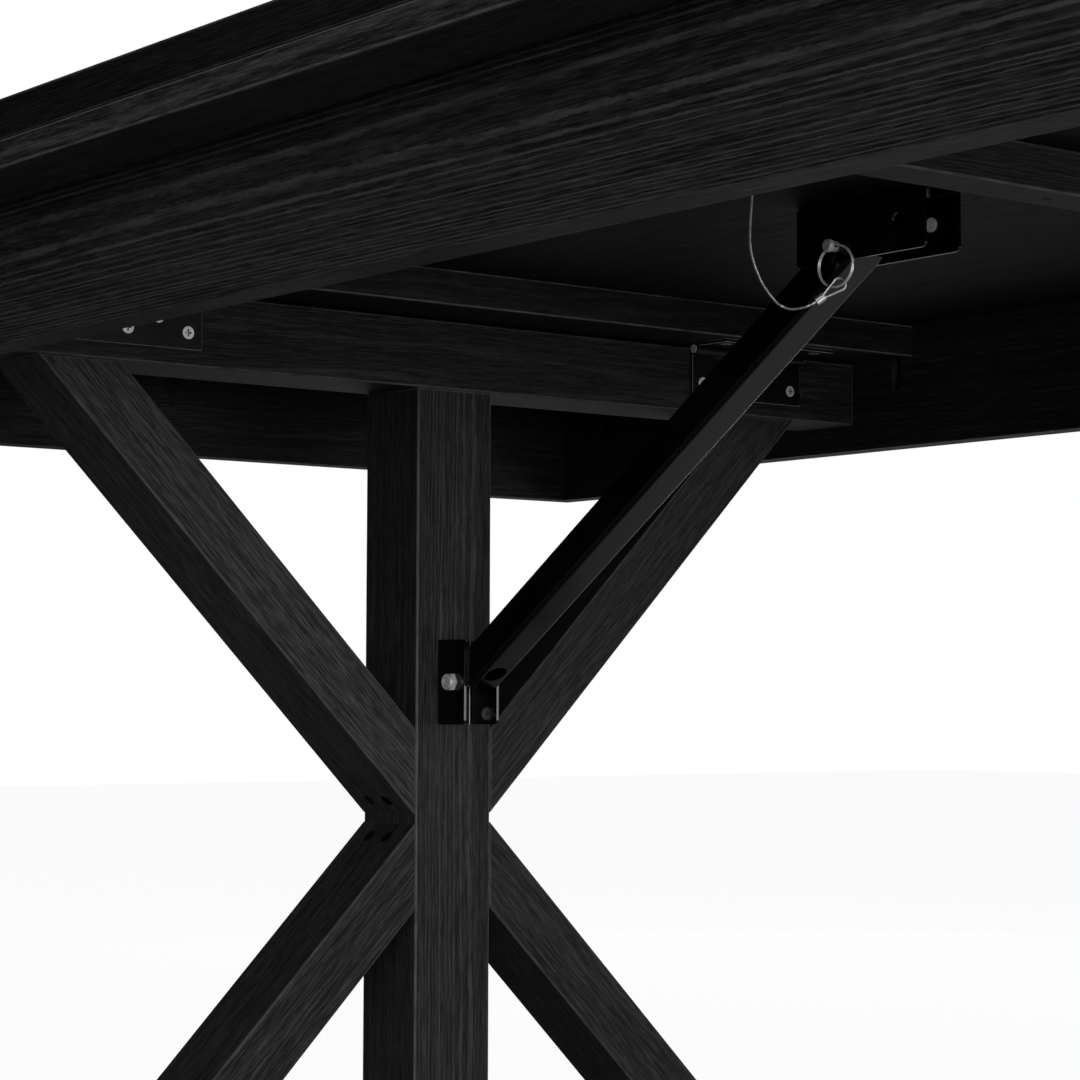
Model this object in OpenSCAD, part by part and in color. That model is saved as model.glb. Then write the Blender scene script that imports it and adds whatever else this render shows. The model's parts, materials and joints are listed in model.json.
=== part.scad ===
// Folding farm table: a plank top on two trestles that fold up under it.
// Millimetres.  X runs along the table, Z is up, and the floor is z = 0.
// Each end is drawn once, in an end frame whose x = 0 is the face of the
// trestle that looks to the middle of the table, and is placed at both ends.

/* [Table top] */
// Length of the top
top_length = 2438; // [2380:1:3000]
// Width of the top
top_width = 965; // [900:1:1100]
// Height of the top over the floor
table_height = 762; // [740:1:800]
// Number of planks side by side
plank_count = 5; // [4:1:7]
// Thickness of the planks
plank_t = 22.5; // [20:0.5:30]
// Chamfer along the upper edges of each plank
plank_chamfer = 1.2; // [0.5:0.1:2]
// Width of the strips glued under the rim
strip_w = 48.5; // [30:0.5:50]
// Thickness of the strips under the rim
strip_t = 15.5; // [8:0.5:20]

/* [Apron] */
// Distance from the rim to the outer face of the apron
apron_inset = 56.5; // [52:0.5:80]
// Thickness of the apron boards
apron_t = 21; // [18:0.5:28]
// Depth of the apron along its middle
apron_depth = 93.5; // [80:0.5:105]
// How much deeper the apron is near each corner
apron_step = 18; // [8:1:30]
// Length of the deeper stretch, from the corner
apron_step_len = 110; // [80:1:160]
// Depth of the rabbet along the upper outer edge
rabbet_depth = 6; // [2:0.5:8]
// Height of that rabbet
rabbet_height = 22; // [18:0.5:30]

/* [Battens] */
// Thickness of the battens under the planks
batten_t = 24.5; // [20:0.5:32]
// Width of the batten that carries the hinges, outside the trestle face
hinge_batten_out = 65; // [64:0.5:90]
// Width of the same batten, inside the trestle face
hinge_batten_in = 50; // [46:0.5:70]
// Width of the narrow cross battens
cross_batten_w = 32; // [25:1:60]
// Distance from the trestle face to the middle of a cross batten
cross_batten_x = 578; // [520:1:620]

/* [Trestle] */
// Distance from the end of the top to the inner face of the trestle
trestle_inset = 469.5; // [440:0.5:476]
// Thickness of the trestle's timber, along the table
timber_t = 63.5; // [50:0.5:70]
// Width of the post
post_w = 63.5; // [50:0.5:80]
// Clearance between the ends of the rails and the apron, on each side
rail_end_gap = 16.5; // [8:0.5:40]
// Height of the top rail
rail_h = 48; // [44:0.5:70]
// Gap between the top rail and the hinge batten
rail_gap = 3; // [2:0.5:4]
// Height of the foot rail
foot_h = 60; // [45:0.5:90]
// Chamfer at the upper ends of the foot rail
foot_chamfer = 14; // [4:1:25]
// Width of the diagonal struts
strut_w = 42; // [34:0.5:50]
// Distance from the middle to the outer foot of a strut on its rail
strut_reach = 325; // [290:1:345]
// Gap between the tips of an upper and a lower strut at the post
strut_tip_gap = 5; // [2:0.5:30]
// Diameter of the glides
glide_d = 28; // [20:1:40]
// Thickness of the glides
glide_t = 4; // [3:0.5:6]
// Distance of each glide from the end of the foot rail
glide_inset = 38; // [30:1:80]

/* [Hinges] */
// Length of a hinge
hinge_len = 110; // [100:1:130]
// Distance from the middle of the table to the middle of the hinge at the front left
hinge_front_y = 262.5; // [240:0.5:290]
// Distance from the middle of the table to the middle of the hinge at the back left
hinge_back_y = 273.5; // [240:0.5:290]
// Width of a hinge leaf, from the pin to its edge
leaf_w = 36; // [32:0.5:40]
// Thickness of a leaf
leaf_t = 2.5; // [2.2:0.1:3]
// Outer diameter of the knuckles
knuckle_d = 8; // [7.4:0.1:9]
// Diameter of the hinge pin
hinge_pin_d = 4.9; // [4:0.1:5.4]

/* [Brace] */
// Height of the boards' underside over the lower pivot of the brace
pivot_drop = 281; // [260:1:320]
// Distance of that pivot from the face of the post
pivot_out = 18.5; // [18:0.5:22]
// Distance from the trestle face to the lock pin
lock_reach = 403; // [385:1:410]
// Height of the boards' underside over the lock pin
lock_drop = 27; // [24:0.5:30]
// Width of the brace channel
brace_w = 25.4; // [20:0.1:28]
// Depth of the brace channel
brace_d = 23; // [21:0.5:25]
// Wall of the brace channel
brace_wall = 1.8; // [1.2:0.1:2.4]
// Distance from the line of the holes to the outer face of the web
brace_line = 12.5; // [11:0.1:13]
// Length by which the flanges pass the lock pin
brace_tail = 12.5; // [11:0.5:14]
// Length from the pivot that has no web
web_cut = 12; // [11:0.5:16]
// Length by which the web passes the lock pin
web_tail = 9; // [0:0.5:10]
// Diameter of the access hole in the web
access_d = 16; // [12:0.5:17]
// Distance from the pivot to the access hole
access_at = 28; // [24:0.5:34]
// Diameter of the dimple pressed into the front flange
dimple_d = 6.5; // [5:0.5:8]
// Distance from the pivot to the dimple
dimple_at = 183.5; // [150:0.5:250]

/* [Brackets] */
// Wall of both brackets
bracket_wall = 1.8; // [1.4:0.1:2.4]
// Clearance between the brace and a bracket, on each side
side_clear = 0.3; // [0.2:0.05:0.6]
// Length of the bracket on the post
post_bracket_len = 58.5; // [54:0.5:70]
// Depth of the bracket on the post
post_bracket_d = 32.5; // [30:0.5:36]
// Depth of the bracket under the top
top_bracket_d = 36; // [34:0.5:40]
// Length of that bracket outside the lock pin
top_bracket_out = 34; // [28:0.5:40]
// Length of that bracket inside the lock pin
top_bracket_in = 73; // [64:0.5:90]
// Distance from the lock pin to the rivet in that bracket
rivet_at = 51.5; // [45:0.5:58]
// Drop of the rivet below the boards
rivet_drop = 18; // [16:0.5:22]

/* [Pivot and lock pin] */
// Diameter of the pivot bolt and of the lock pin
pin_d = 6.35; // [5.5:0.05:7]
// Width across the flats of the bolt head and the nut
hex_af = 11.1; // [10:0.1:13]
// Length by which the lock pin passes the far wall
pin_tip = 3; // [1.5:0.5:6]
// Length by which the lock pin stands out of the near wall
pin_head = 8.2; // [7:0.1:10]
// Outer diameter of the pull ring
ring_d = 27; // [24:0.5:32]
// Diameter of the ring's wire
ring_wire = 1.9; // [1.5:0.1:2.2]
// Diameter of the lanyard
lanyard_d = 1.5; // [1:0.1:2]

/* [Hidden] */
$fn = 48;
e = 0.01;                       // overlap of cutting shapes
fit = 0.05;                     // radial clearance of screws and bolts in their holes
run = 0.07;                     // radial clearance of a running fit
slide = 0.1;                    // radial clearance of the lock pin

under_z = table_height - plank_t;
batten_z = under_z - batten_t;
plank_w = top_width / plank_count;
apron_y = top_width / 2 - apron_inset;
apron_x = top_length / 2 - apron_inset;
inner_y = apron_y - apron_t;
inner_x = apron_x - apron_t;
face_x = top_length / 2 - trestle_inset;

rail_len = 2 * (inner_y - rail_end_gap);
rail_top = batten_z - rail_gap;
rail_z = rail_top - rail_h;
foot_top = glide_t + foot_h;
joint_z = (rail_z + foot_top) / 2;
strut_rise = rail_z - joint_z - strut_tip_gap / 2;
strut_run = strut_reach - post_w / 2;
strut_angle = atan2(strut_rise, strut_run);

hinge_gap = 0.3;                // between a barrel and the timber
hinge_off = knuckle_d / 2 + hinge_gap;
hinge = [hinge_off, 0, batten_z - hinge_off];
knuckles = 5;
knuckle_len = hinge_len / knuckles;
knuckle_gap = 0.3;
knuckle_cut = knuckle_d / 2 + 0.6;
hinge_places = [-hinge_front_y, hinge_back_y];

pivot = [pivot_out, 0, under_z - pivot_drop];
lock = [lock_reach, 0, under_z - lock_drop];
brace_len = norm(lock - pivot);
brace_angle = atan2(lock.z - pivot.z, lock.x - pivot.x);
brace_top = brace_d - brace_line;
dimple_t = brace_wall - 0.5;
fold_range = 85;
swing_ratio = -(90 + brace_angle) / fold_range;
// Way of the lock hole over the pin as the trestle starts to fold.
hole_way = [-(lock.z - hinge.z) - swing_ratio * (lock.z - pivot.z),
            (lock.x - hinge.x) + swing_ratio * (lock.x - pivot.x)];
notch_angle = atan2(-hole_way.y, -hole_way.x) - brace_angle;
notch_clear = 0.35;             // either side of the pin in the notch of the brace
lock_hole_d = pin_d + 2 * notch_clear + 0.2;

slot_w = brace_w + 2 * side_clear;
bracket_w = slot_w + 2 * bracket_wall;
bend_r = 3;
rivet_x = lock_reach + rivet_at;
rivet_z = under_z - rivet_drop;
rivet_head_d = 8.6;
rivet_head_t = 1;
rivet_shank_d = 5;
rivet_access_d = 10;            // of the hole in the near wall for the riveting tool

nut_t = 5.6;
nut_collar = 2;
nut_bevel = 1.2;
bolt_short = 0.4;               // by which the bolt ends inside its nut
glide_nail_len = 16;

// Screws: [diameter, head diameter, head height]
leaf_screw = [4.2, 8.5, 2.3];
wood_screw = [5, 9.5, 3];
leaf_screw_len = 22;
batten_screw_len = 38;
pan_len = 20;
pan_h = 1.9;
strut_screw_len = 55;
screw_bite = 30;                // of a rail screw in the post or strut
rail_screw_len = rail_h + screw_bite;
foot_screw_len = foot_h + screw_bite;
leaf_screw_rows = [[-2, 25], [-1, 16], [0, 25], [1, 16], [2, 25]];
leaf_screw_pitch = 22.35;
batten_screw_y = [-340, -250, -180, -25, 25, 180, 250, 340];
hinge_batten_screw_x = -32;
timber_rows = [-timber_t / 3, -timber_t * 2 / 3];
tip_screw_at = 14;              // from the tip of a strut, along its face
rail_screw_in = 45;             // from the foot of a strut to its rail screw
rail_screw_y = strut_reach - rail_screw_in;
post_screw_z = 22;              // from the pivot to the screws of the post bracket
top_screw_x = [16, -57];        // from the lock pin to the screws of its bracket

// Pocket holes that hold the apron to the planks
pocket_d = 10.5;
pocket_tilt = 15;
pocket_drop = 34.5;             // from the boards to a pocket's axis at the inner face
pocket_z = under_z - pocket_drop;
pocket_len = 21;
pocket_screw_len = 48;
pocket_off = 31.5;              // from the trestle's face to the nearest pocket
pocket_first = pocket_off - face_x;
pocket_pitch = 300;
pocket_count = floor((inner_x + pocket_first) / pocket_pitch);
pocket_x = [for (i = [-1:pocket_count + 4]) pocket_first + i * pocket_pitch];
pocket_margin = 60;             // from the end apron to the last pocket of a long one
long_pockets = [for (x = pocket_x) if (abs(x) < inner_x - pocket_margin) x];
end_pockets = [-240, 0, 240];

// Pull ring and lanyard
wall_y = bracket_w / 2;
head_hole_y = -wall_y - 3.4;
ring_r = (ring_d - ring_wire) / 2;
ring_tilt = 14;
ring_turn = 9;
head_hole_d = 3.8;
ring_low = [lock.x + ring_r * sin(ring_tilt), head_hole_y, lock.z - ring_r * cos(ring_tilt)
            - ring_r];
eye_r = 3.8;
eye_seat = 2.5;                 // from the ring's wire on to the middle of the eye's bow
ferrule_w = 5.2;
ferrule_t = 3.2;
ferrule_len = 6;
anchor_d = 5;
anchor_h = 1.6;
anchor_screw_len = 15;
// Route of the lanyard from its ferrule to its anchor, from the lock pin.
lanyard_route = [[-4.5, -27, -33.5], [-9, -32, -36.5], [-15, -37, -37.5], [-18.5, -41, -36],
                 [-19.5, -46, -33], [-21, -54.5, -23.5], [-21, -61.5, -11.5], [-19, -66, -2],
                 [-14, -70.5, 8]];
anchor_at = [-6.5, -75.5];
lanyard_points = [for (p = lanyard_route) p + lock,
                  [lock.x + anchor_at.x, anchor_at.y, under_z - anchor_h - lanyard_d / 3]];
eye_way = lanyard_points[0] - ring_low;
rings_per_span = 3;

wood = "#26231f";
wood_pale = "#39342e";
black_steel = "#101012";
zinc = "#b9bbbd";

// ---- Placing ----

module left() {
    translate([-face_x, 0, 0]) children();
}

module right() {
    rotate([0, 0, 180]) left() children();
}

module both_ends() {
    left() children();
    right() children();
}

// Turns +Z to the direction v.
module along(v) {
    rotate([0, acos(v.z / norm(v)), atan2(v.y, v.x)]) children();
}

// ---- Screws ----

// Countersunk screw along +Z with its head flush at z = 0; grow widens it for a hole.
module countersunk(size, len, grow = 0) {
    cylinder(d1 = size[1] + 2 * grow, d2 = size[0] + 2 * grow, h = size[2] + grow);
    cylinder(d = size[0] + 2 * grow, h = len + grow);
    if (grow > 0)
        translate([0, 0, -1]) cylinder(d = size[1] + 2 * grow, h = 1 + e);
}

module cross_recess(width, depth) {
    for (a = [0, 90])
        rotate([0, 0, a])
            translate([-width / 2, -width / 8, -e]) cube([width, width / 4, depth + e]);
}

module screw(size, len) {
    difference() {
        countersunk(size, len);
        cross_recess(size[1] * 0.55, size[2] * 0.6);
    }
}

// Pan head screw: its head stands under z = 0 and its shank runs along +Z.
module pan_screw() {
    difference() {
        union() {
            translate([0, 0, -pan_h]) cylinder(d = leaf_screw[1], h = pan_h);
            cylinder(d = leaf_screw[0], h = pan_len);
        }
        translate([0, 0, -pan_h]) cross_recess(leaf_screw[1] * 0.55, pan_h * 0.7);
    }
}

module pan_hole() {
    translate([0, 0, -e]) cylinder(d = leaf_screw[0] + 2 * fit, h = pan_len + fit);
}

// ---- Screw places, each used for the screw and for its hole ----

module at_pockets() {
    for (x = long_pockets, s = [-1, 1])
        translate([x, s * inner_y, pocket_z]) rotate([0, 0, s * 90])
            rotate([0, pocket_tilt, 0]) children();
    for (y = end_pockets, s = [-1, 1])
        translate([s * inner_x, y, pocket_z]) rotate([0, 0, s > 0 ? 0 : 180])
            rotate([0, pocket_tilt, 0]) children();
}

module at_batten_screws() {
    both_ends()
        for (x = [hinge_batten_screw_x, cross_batten_x], y = batten_screw_y)
            translate([x, y, batten_z]) children();
}

// Places of the screws through one pair of leaves that lie on the timber at +X.
module at_leaf_screws() {
    for (y = hinge_places, row = leaf_screw_rows)
        translate([-hinge_off + leaf_t, y + row[0] * leaf_screw_pitch, -row[1]])
            rotate([0, -90, 0]) children();
}

module rail_side() {
    translate(hinge) children();
}

module batten_side() {
    translate(hinge) mirror([1, 0, 1]) children();
}

module at_lock_bracket_screws() {
    for (x = top_screw_x)
        translate([lock.x - x, 0, under_z - bracket_wall]) children();
}

module at_post_bracket_screws() {
    for (s = [-1, 1])
        translate([bracket_wall, 0, pivot.z + s * post_screw_z]) rotate([0, -90, 0]) children();
}

module at_anchor() {
    translate([lock.x + anchor_at.x, anchor_at.y, under_z]) children();
}

// Tips of the struts: level is 1 for the upper pair and -1 for the lower pair.
module at_tip_screws(level, side) {
    along_y = tip_screw_at * cos(strut_angle);
    along_z = tip_screw_at * sin(strut_angle) + strut_tip_gap / 2;
    for (x = timber_rows)
        translate([x, side * (post_w / 2 + along_y), joint_z + level * along_z])
            along([0, -side * sin(strut_angle), level * cos(strut_angle)]) children();
}

module at_rail_screws(level) {
    z = level > 0 ? rail_top : glide_t;
    for (x = timber_rows, y = [-rail_screw_y, 0, rail_screw_y])
        translate([x, y, z]) rotate([level > 0 ? 180 : 0, 0, 0]) children();
}

// ---- Top ----

module plank(i) {
    y = -top_width / 2 + i * plank_w;
    c = plank_chamfer;
    color(i % 2 == 0 ? wood : wood_pale)
        difference() {
            translate([-top_length / 2, y, under_z]) rotate([90, 0, 90])
                linear_extrude(top_length)
                    polygon([[0, 0], [plank_w, 0], [plank_w, plank_t - c],
                             [plank_w - c, plank_t], [c, plank_t], [0, plank_t - c]]);
            at_pockets() cylinder(d = wood_screw[0] + 2 * fit, h = pocket_screw_len + fit);
            at_batten_screws() cylinder(d = wood_screw[0] + 2 * fit, h = batten_screw_len + fit);
            both_ends() {
                at_lock_bracket_screws() pan_hole();
                at_anchor() translate([0, 0, -e])
                    cylinder(d = leaf_screw[0] + 2 * fit, h = anchor_screw_len + fit);
            }
        }
}

module edge_strips_long() {
    color(wood)
        for (s = [-1, 1])
            translate([-top_length / 2, s > 0 ? top_width / 2 - strip_w : -top_width / 2,
                       under_z - strip_t])
                cube([top_length, strip_w, strip_t]);
}

module edge_strips_end() {
    inner = top_width / 2 - strip_w;
    color(wood_pale)
        for (s = [-1, 1])
            translate([s > 0 ? top_length / 2 - strip_w : -top_length / 2, -inner,
                       under_z - strip_t])
                cube([strip_w, 2 * inner, strip_t]);
}

// ---- Apron ----

// Side of an apron board that is len long, with deeper ends that rise in a cove.
module apron_side(len, end_len) {
    translate([-len / 2, 0]) square([len, apron_depth]);
    for (s = [0, 1])
        mirror([s, 0]) {
            translate([-len / 2, -apron_step]) square([end_len, apron_step + e]);
            difference() {
                translate([-len / 2 + end_len, -apron_step]) square([apron_step, apron_step + e]);
                translate([-len / 2 + end_len + apron_step, -apron_step])
                    circle(r = apron_step);
            }
        }
}

// Board along X with its outer face at y = 0 looking to -Y.
module apron_board(len, end_len) {
    difference() {
        translate([0, apron_t, under_z - apron_depth]) rotate([90, 0, 0])
            linear_extrude(apron_t) apron_side(len, end_len);
        translate([-len / 2 - 1, -1, under_z - rabbet_height])
            cube([len + 2, rabbet_depth + 1, rabbet_height + 1]);
    }
}

module pocket_cuts() {
    at_pockets() {
        translate([0, 0, -pocket_d * 2]) cylinder(d = pocket_d, h = pocket_d * 2 + pocket_len);
        cylinder(d = wood_screw[0] + 2 * fit, h = pocket_screw_len);
    }
}

module apron_long(side) {
    color(wood)
        difference() {
            rotate([0, 0, side > 0 ? 180 : 0]) translate([0, -apron_y, 0])
                apron_board(2 * apron_x, apron_step_len);
            pocket_cuts();
        }
}

module apron_end(side) {
    color(wood_pale)
        difference() {
            rotate([0, 0, side * 90]) translate([0, -apron_x, 0])
                apron_board(2 * inner_y, apron_step_len - apron_t);
            pocket_cuts();
        }
}

// ---- Battens ----

module hinge_battens() {
    color(wood)
        both_ends()
            difference() {
                translate([-hinge_batten_out, -inner_y, batten_z])
                    cube([hinge_batten_out + hinge_batten_in, 2 * inner_y, batten_t]);
                for (y = batten_screw_y)
                    translate([hinge_batten_screw_x, y, batten_z])
                        countersunk(wood_screw, batten_screw_len, fit);
                batten_side() at_leaf_screws()
                    cylinder(d = leaf_screw[0] + 2 * fit, h = leaf_screw_len + fit);
            }
}

module cross_battens() {
    color(wood_pale)
        both_ends()
            difference() {
                translate([cross_batten_x - cross_batten_w / 2, -inner_y, batten_z])
                    cube([cross_batten_w, 2 * inner_y, batten_t]);
                for (y = batten_screw_y)
                    translate([cross_batten_x, y, batten_z])
                        countersunk(wood_screw, batten_screw_len, fit);
            }
}

module frame_screws() {
    color(black_steel) {
        at_pockets() translate([0, 0, pocket_len]) {
            cylinder(d = wood_screw[0], h = pocket_screw_len - pocket_len);
            translate([0, 0, -2.5]) difference() {
                cylinder(d = wood_screw[1], h = 2.5);
                cross_recess(4.5, 1.5);
            }
        }
        at_batten_screws() screw(wood_screw, batten_screw_len);
    }
}

// ---- Hinges ----

// Both leaves of one end that have the given knuckles; they lie on timber at
// x = -hinge_off from the pin and hang down from it.
module leaves(first) {
    difference() {
        for (y = hinge_places) translate([0, y - hinge_len / 2, 0]) {
            translate([-hinge_off, 0, -leaf_w]) cube([leaf_t, hinge_len, leaf_w - knuckle_cut]);
            for (k = [first:2:knuckles - 1])
                translate([0, k * knuckle_len + knuckle_gap / 2, 0]) {
                    rotate([-90, 0, 0]) cylinder(d = knuckle_d, h = knuckle_len - knuckle_gap);
                    translate([-hinge_off, 0, -knuckle_cut - e])
                        cube([leaf_t, knuckle_len - knuckle_gap, knuckle_cut + e]);
                }
        }
        for (y = hinge_places) translate([0, y - hinge_len / 2 - 1, 0])
            rotate([-90, 0, 0]) cylinder(d = hinge_pin_d + 2 * run, h = hinge_len + 2);
        at_leaf_screws() countersunk(leaf_screw, leaf_screw_len, fit);
    }
}

module top_hinge_leaves() {
    color(black_steel) both_ends() batten_side() leaves(1);
}

module rail_hinge_leaves() {
    color(black_steel) rail_side() leaves(0);
}

module hinge_pins() {
    pin_over = 0.8;             // peened end of the pin outside the barrel
    color(zinc) rail_side()
        for (y = hinge_places) translate([0, y, 0]) rotate([90, 0, 0]) {
            cylinder(d = hinge_pin_d, h = hinge_len + 2 * pin_over, center = true);
            for (m = [0, 1]) mirror([0, 0, m])
                translate([0, 0, hinge_len / 2]) cylinder(d = hinge_pin_d + 1.4, h = pin_over);
        }
}

module underside_screws() {
    color(zinc) both_ends() {
        batten_side() at_leaf_screws() screw(leaf_screw, leaf_screw_len);
        at_lock_bracket_screws() pan_screw();
    }
}

// ---- Trestle ----

module tip_screw_holes(level) {
    for (s = [-1, 1])
        at_tip_screws(level, s) countersunk(wood_screw, strut_screw_len, fit);
}

module rail_screw_holes(level) {
    len = level > 0 ? rail_screw_len : foot_screw_len;
    at_rail_screws(level) countersunk(wood_screw, len, fit);
}

module top_rail() {
    color(wood)
        difference() {
            translate([-timber_t, -rail_len / 2, rail_z]) cube([timber_t, rail_len, rail_h]);
            rail_screw_holes(1);
            rail_side() at_leaf_screws()
                cylinder(d = leaf_screw[0] + 2 * fit, h = leaf_screw_len + fit);
        }
}

module foot_rail() {
    c = foot_chamfer;
    color(wood)
        difference() {
            translate([0, 0, glide_t]) rotate([90, 0, -90]) linear_extrude(timber_t)
                polygon([[-rail_len / 2, 0], [rail_len / 2, 0], [rail_len / 2, foot_h - c],
                         [rail_len / 2 - c, foot_h], [-rail_len / 2 + c, foot_h],
                         [-rail_len / 2, foot_h - c]]);
            rail_screw_holes(-1);
            at_glides() cylinder(d = leaf_screw[0] + 2 * fit, h = glide_nail_len + fit);
        }
}

module post() {
    color(wood)
        difference() {
            translate([-timber_t, -post_w / 2, foot_top])
                cube([timber_t, post_w, rail_z - foot_top]);
            tip_screw_holes(1);
            tip_screw_holes(-1);
            rail_screw_holes(1);
            rail_screw_holes(-1);
            at_post_bracket_screws() pan_hole();
        }
}

module strut(level, side) {
    high = strut_w / cos(strut_angle);
    wide = strut_w / sin(strut_angle);
    foot = strut_tip_gap / 2;
    color(wood_pale)
        difference() {
            translate([0, 0, joint_z]) mirror([0, 0, level > 0 ? 0 : 1])
                mirror([0, side > 0 ? 0 : 1, 0]) rotate([90, 0, -90]) mirror([1, 0])
                    linear_extrude(timber_t)
                        polygon([[post_w / 2, foot], [strut_reach, foot + strut_rise],
                                 [strut_reach - wide, foot + strut_rise],
                                 [post_w / 2, foot + high]]);
            at_tip_screws(level, side) countersunk(wood_screw, strut_screw_len, fit);
            rail_screw_holes(level);
        }
}

module at_glides() {
    for (s = [-1, 1])
        translate([-timber_t / 2, s * (rail_len / 2 - glide_inset), glide_t]) children();
}

module glides() {
    color("#2a2a2a")
        at_glides() {
            translate([0, 0, -glide_t]) cylinder(d = glide_d, h = glide_t);
            cylinder(d = leaf_screw[0], h = glide_nail_len);
        }
}

module joint_screws() {
    color(black_steel) {
        for (level = [-1, 1], s = [-1, 1])
            at_tip_screws(level, s) screw(wood_screw, strut_screw_len);
        at_rail_screws(1) screw(wood_screw, rail_screw_len);
        at_rail_screws(-1) screw(wood_screw, foot_screw_len);
    }
}

module hardware_screws() {
    color(zinc) {
        rail_side() at_leaf_screws() screw(leaf_screw, leaf_screw_len);
        at_post_bracket_screws() pan_screw();
    }
}

// ---- Brackets ----

// U section, w wide and d deep, with its web along the x axis.
module channel(w, d, wall, r) {
    difference() {
        channel_solid(w, d, r);
        translate([0, wall]) channel_solid(w - 2 * wall, d, max(r - wall, 0.4));
    }
}

module channel_solid(w, d, r) {
    translate([-w / 2, r]) square([w, d - r]);
    translate([-w / 2 + r, 0]) square([w - 2 * r, d]);
    for (s = [-1, 1]) translate([s * (w / 2 - r), r]) circle(r = r);
}

// Side view of a bracket, len by d, with the two free corners rounded; it runs
// past the web so that it only trims the three other sides.
module bracket_side(len, d, r) {
    translate([0, -1]) square([len, d - r + 1]);
    translate([r, 0]) square([len - 2 * r, d]);
    for (x = [r, len - r]) translate([x, d - r]) circle(r = r);
}

module cross_bore(at, d) {
    translate(at) rotate([90, 0, 0]) cylinder(d = d, h = 2 * bracket_w, center = true);
}

module post_bracket() {
    color(black_steel)
        difference() {
            intersection() {
                translate([0, 0, pivot.z - post_bracket_len / 2 - 1]) rotate([0, 0, -90])
                    linear_extrude(post_bracket_len + 2)
                        channel(bracket_w, post_bracket_d + 2, bracket_wall, bend_r);
                translate([0, bracket_w, pivot.z + post_bracket_len / 2]) rotate([90, 90, 0])
                    linear_extrude(2 * bracket_w)
                        bracket_side(post_bracket_len, post_bracket_d, bend_r);
            }
            cross_bore(pivot, pin_d + 2 * fit);
            at_post_bracket_screws() pan_hole();
        }
}

module lock_bracket() {
    len = top_bracket_out + top_bracket_in;
    color(black_steel)
        difference() {
            intersection() {
                translate([lock.x - top_bracket_out - 1, 0, under_z]) rotate([90, 180, 90])
                    linear_extrude(len + 2)
                        channel(bracket_w, top_bracket_d + 2, bracket_wall, bend_r);
                translate([lock.x - top_bracket_out, -bracket_w, under_z]) rotate([-90, 0, 0])
                    linear_extrude(2 * bracket_w) bracket_side(len, top_bracket_d, bend_r);
            }
            cross_bore(lock, pin_d + 2 * slide);
            cross_bore([rivet_x, 0, rivet_z], rivet_shank_d + 2 * fit);
            translate([rivet_x, 0, rivet_z]) rotate([90, 0, 0])
                cylinder(d = rivet_access_d, h = bracket_w);
            at_lock_bracket_screws() pan_hole();
        }
}

module bracket_rivets() {
    color(zinc)
        both_ends()
            translate([rivet_x, 0, rivet_z]) rotate([-90, 0, 0]) {
                translate([0, 0, slot_w / 2 - rivet_head_t])
                    cylinder(d = rivet_head_d, h = rivet_head_t);
                translate([0, 0, slot_w / 2 - e])
                    cylinder(d = rivet_shank_d, h = bracket_wall + 2 * e);
                translate([0, 0, bracket_w / 2]) cylinder(d = rivet_head_d, h = rivet_head_t);
            }
}

module lanyard_anchors() {
    color(black_steel)
        both_ends() at_anchor() {
            translate([0, 0, -anchor_h]) cylinder(d = anchor_d, h = anchor_h);
            cylinder(d = leaf_screw[0], h = anchor_screw_len);
        }
}

// ---- Brace ----

// Side view of the brace: x runs from the pivot to the lock pin, y to its open side.
// Past both ends of the web the flanges stop above its bends; the web itself is
// ended by the channel.
module brace_side() {
    low = bend_r + 0.5 - brace_line;
    end_r = (brace_top - low) / 2;
    for (x = [0, brace_len + brace_tail - end_r]) translate([x, low + end_r]) circle(r = end_r);
    translate([0, low]) square([brace_len + brace_tail - end_r, 2 * end_r]);
    translate([web_cut, -brace_line - 1]) square([brace_len + web_tail - web_cut, brace_line + 1]);
}

module brace() {
    color(black_steel)
        translate(pivot) rotate([0, -brace_angle, 0])
            difference() {
                intersection() {
                    translate([-brace_w, 0, -brace_line]) rotate([90, 0, 90])
                        linear_extrude(brace_len + 2 * brace_w)
                            channel(brace_w, brace_d + 2, brace_wall, bend_r);
                    translate([0, brace_w, 0]) rotate([90, 0, 0])
                        linear_extrude(2 * brace_w) brace_side();
                }
                cross_bore([0, 0, 0], pin_d + 2 * run);
                cross_bore([brace_len, 0, 0], lock_hole_d);
                translate([dimple_at, dimple_t - brace_w / 2, 0]) rotate([90, 0, 0])
                    cylinder(d = dimple_d, h = brace_w);
                translate([access_at, 0, -brace_line - 1])
                    cylinder(d = access_d, h = brace_wall + 3);
                translate([brace_len, 0, 0]) rotate([0, -notch_angle, 0])
                    translate([0, -brace_w, -pin_d / 2 - notch_clear])
                        cube([brace_d, 2 * brace_w, pin_d + 2 * notch_clear]);
            }
}

module pivot_bolt() {
    head_t = 4;
    color(zinc)
        translate(pivot) rotate([90, 0, 0]) {
            translate([0, 0, -wall_y]) cylinder(d = pin_d, h = 2 * wall_y + nut_t - bolt_short);
            translate([0, 0, -wall_y - head_t])
                cylinder(d = hex_af / cos(30), h = head_t, $fn = 6);
        }
}

module pivot_nut() {
    color(zinc)
        translate(pivot) rotate([90, 0, 0]) translate([0, 0, wall_y])
            difference() {
                union() {
                    cylinder(d = hex_af / cos(30), h = nut_t - nut_collar, $fn = 6);
                    cylinder(d = hex_af - nut_bevel, h = nut_t);
                }
                translate([0, 0, -1]) cylinder(d = pin_d + 2 * fit, h = nut_t + 2);
            }
}

// ---- Lock pin, ring and lanyard ----

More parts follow.
